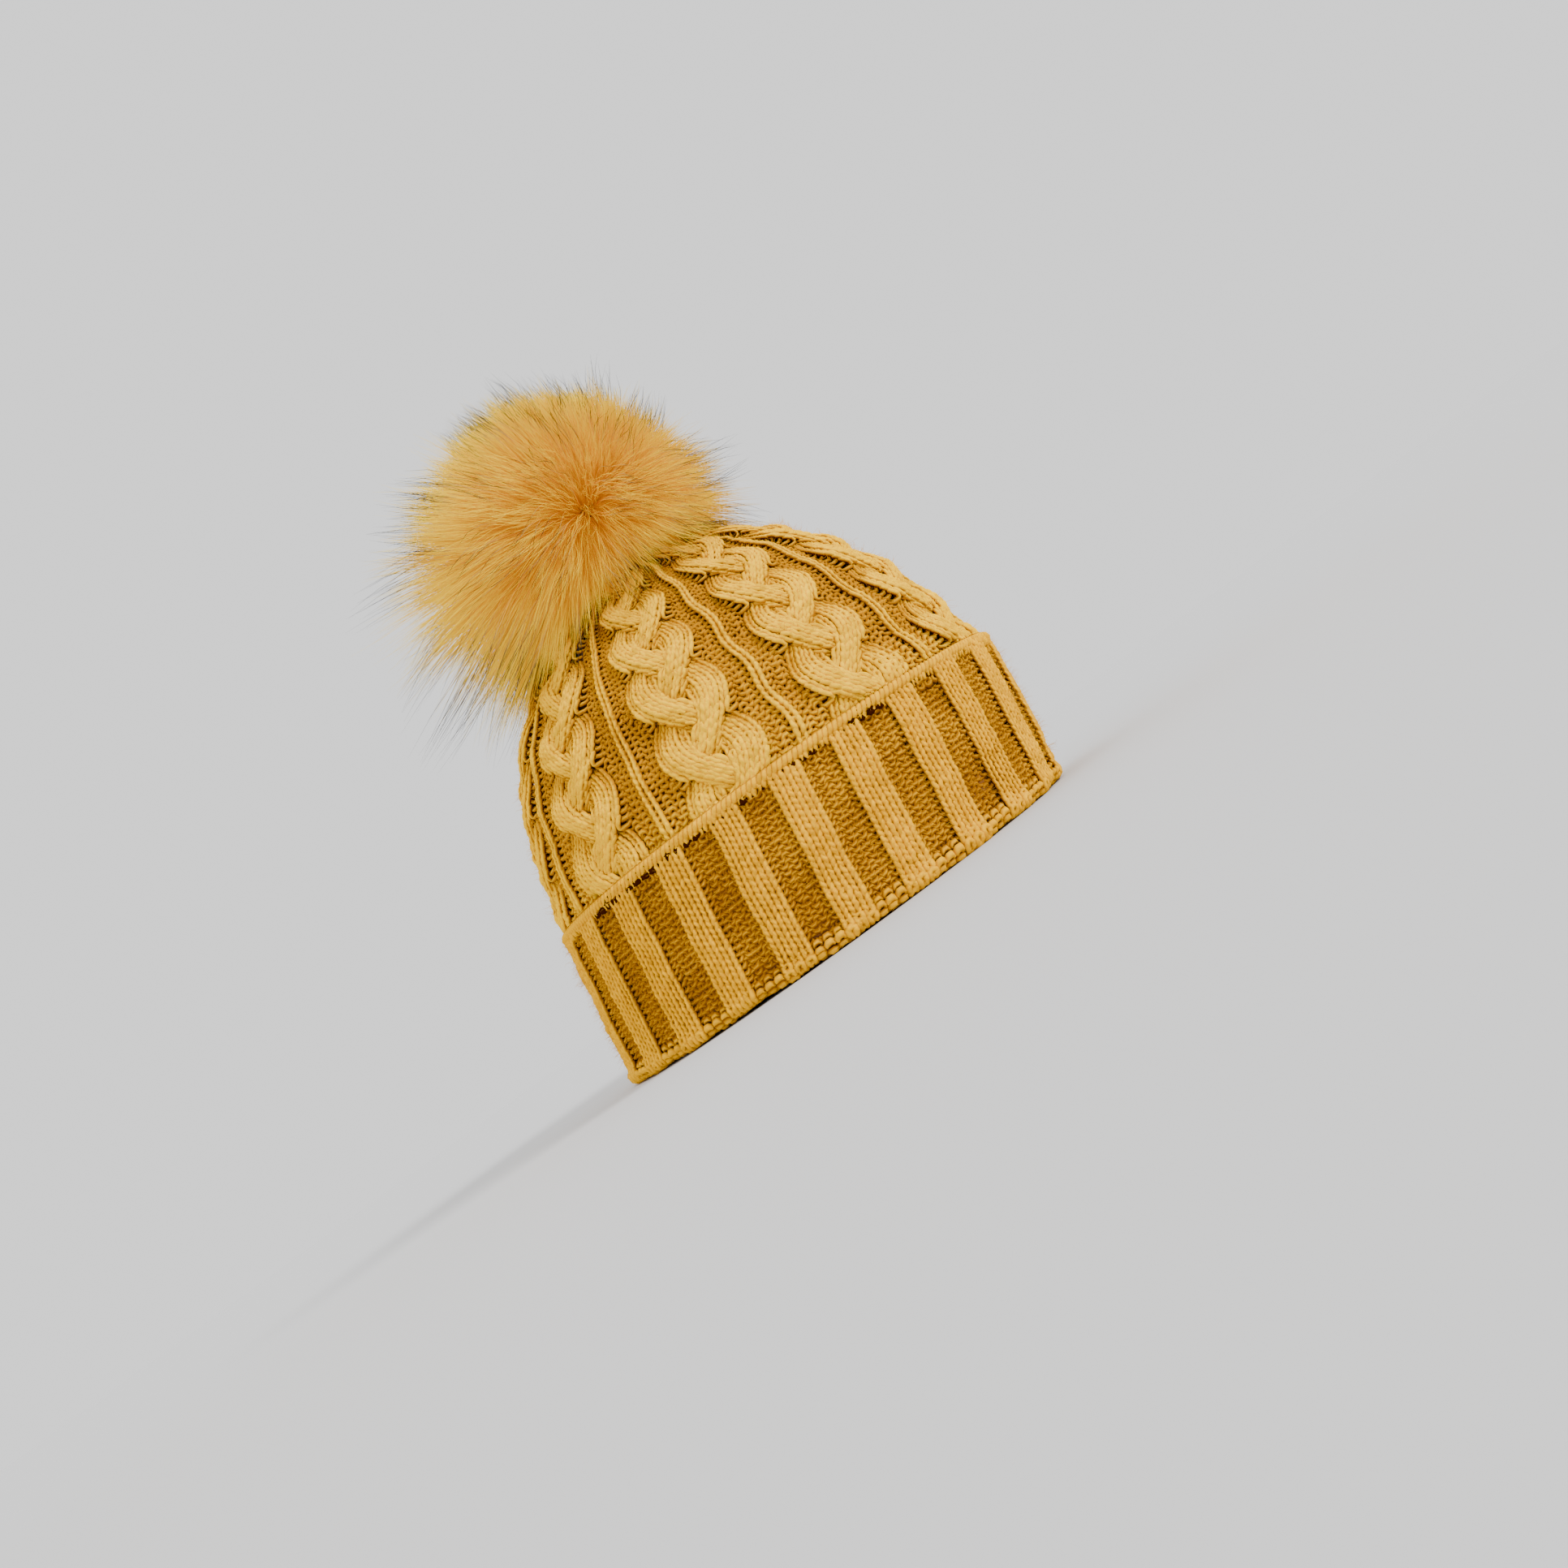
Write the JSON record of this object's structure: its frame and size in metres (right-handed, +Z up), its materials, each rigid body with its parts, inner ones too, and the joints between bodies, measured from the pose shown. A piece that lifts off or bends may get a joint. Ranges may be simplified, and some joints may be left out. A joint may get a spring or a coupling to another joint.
{
  "type": "knit beanie",
  "caption": "Chunky cable-knit beanie with a turned-up ribbed cuff and a fur pompom on a press stud.",
  "frame": {"origin": "bottom centre of the hat's box, on the surface that its rim stands on", "axes": "+Z up along the hat's axis to the pompom, -Y to the front, -X to the wearer's right"},
  "size_m": [0.186, 0.234, 0.278],
  "materials": {
    "cable_knit": "matte",
    "rib_knit": "matte",
    "yarn": "matte",
    "felt": "matte",
    "snap_metal": "satin",
    "spring_steel": "polished",
    "pelt": "matte",
    "stuffing": "matte",
    "thread": "matte",
    "fur": "matte"
  },
  "bodies": {
    "cuff": {"cuff": "rib_knit"},
    "hat": {"crown_shell": "cable_knit", "inner_band": "rib_knit", "back_seam_yarn": "yarn"},
    "crown_top": {"gathered_top": "cable_knit", "gather_yarn": "yarn", "gather_knot": "yarn", "yarn_tail": "yarn", "felt_washer": "felt", "snap_cap": "snap_metal", "snap_stud": "snap_metal"},
    "spring_ring": {"snap_spring_ring": "spring_steel"},
    "pompom_base": {"snap_socket": "snap_metal", "socket_rivet": "snap_metal", "pompom_base_patch": "felt"},
    "pompom": {"pompom_pelt": "pelt", "pompom_stuffing": "stuffing", "pompom_gather_thread": "thread", "pompom_fur": "fur"}
  },
  "joints": [
    {"name": "cuff_turn_down", "type": "slide", "parent": "cuff", "child": "hat", "axis": [0, -0.1455, 0.9894], "range_m": [0, 0.061]},
    {"name": "pompom_tilt_back", "type": "hinge", "parent": "hat", "child": "crown_top", "pos_m": [0, -0.005, 0.183], "axis": [-1, 0, 0], "range_deg": [-10, 10], "stiffness_Nm_per_rad": 0.2},
    {"name": "pompom_pull_off", "type": "slide", "parent": "crown_top", "child": "spring_ring", "axis": [0, 0, 1], "range_m": [0, 0.06]},
    {"name": "pompom_spin", "type": "hinge", "parent": "spring_ring", "child": "pompom_base", "pos_m": [0, -0.005, 0.1895], "axis": [0, 0, 1], "continuous": true},
    {"name": "pompom_tilt_side", "type": "hinge", "parent": "pompom_base", "child": "pompom", "pos_m": [0, -0.005, 0.1955], "axis": [0, 1, 0], "range_deg": [-8, 8], "stiffness_Nm_per_rad": 0.2}
  ]
}
